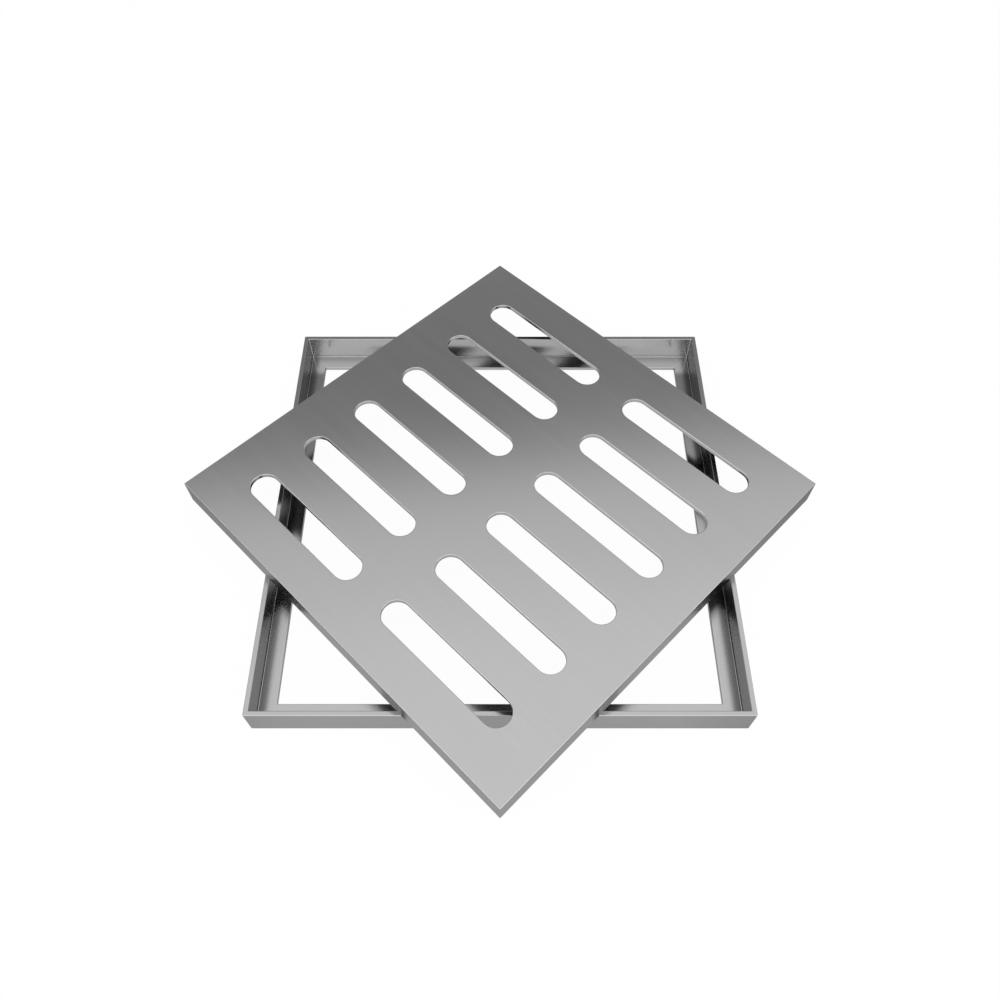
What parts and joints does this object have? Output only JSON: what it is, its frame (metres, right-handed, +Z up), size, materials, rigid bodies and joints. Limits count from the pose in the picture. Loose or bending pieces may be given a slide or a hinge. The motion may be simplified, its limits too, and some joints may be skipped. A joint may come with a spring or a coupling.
{
  "type": "storm drain grate",
  "caption": "Square slotted drain grate, a folded steel tray, lying turned on the square ledged frame that it seats in.",
  "frame": {"origin": "middle of the frame's underside, where it stands on the ground", "axes": "+Z up. The grate's slots run along Y and its rows are spread along X. The frame below is turned 45 degrees, so its corners point along X and Y"},
  "size_m": [0.4242, 0.4242, 0.042],
  "materials": {
    "grate_steel": "satin brushed",
    "frame_steel": "satin brushed"
  },
  "bodies": {
    "root": {"grate": "grate_steel", "rail_front": "frame_steel", "rail_right": "frame_steel", "rail_back": "frame_steel", "rail_left": "frame_steel"}
  },
  "joints": []
}
